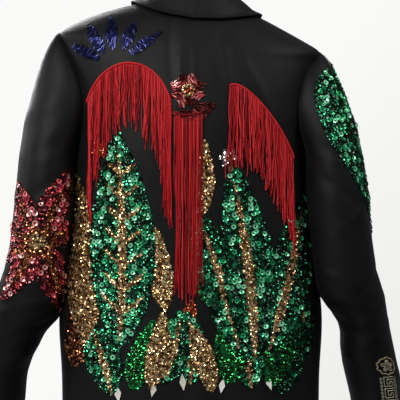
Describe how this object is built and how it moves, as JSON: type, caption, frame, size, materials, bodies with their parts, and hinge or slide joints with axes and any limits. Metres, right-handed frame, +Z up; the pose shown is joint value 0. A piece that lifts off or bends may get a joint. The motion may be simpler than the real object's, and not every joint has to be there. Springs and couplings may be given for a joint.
{
  "type": "sequin jacket",
  "caption": "Black jacket with a turned-down collar, shown worn and hollow, its back and sleeves covered in sequins and falls of red fringe.",
  "frame": {"origin": "middle of the neck opening, level with the inner ends of the shoulder seams", "axes": "+Z up, -Y the way the wearer faces, +X towards the wearer's left sleeve"},
  "size_m": [0.75, 0.2587, 0.7469],
  "materials": {
    "black_cloth": "smooth cloth with a soft sheen",
    "black_button": "polished",
    "red_fringe": "silky thread"
  },
  "bodies": {
    "root": {"back": "black_cloth", "front_left": "black_cloth", "front_right": "black_cloth", "sleeve_left": "black_cloth", "sleeve_right": "black_cloth", "collar_stand": "black_cloth", "collar_fall": "black_cloth", "button_1": "black_button", "button_2": "black_button", "button_3": "black_button", "button_4": "black_button", "button_5": "black_button", "fringe_left": "red_fringe", "fringe_right": "red_fringe", "fringe_middle": "red_fringe"}
  },
  "joints": []
}
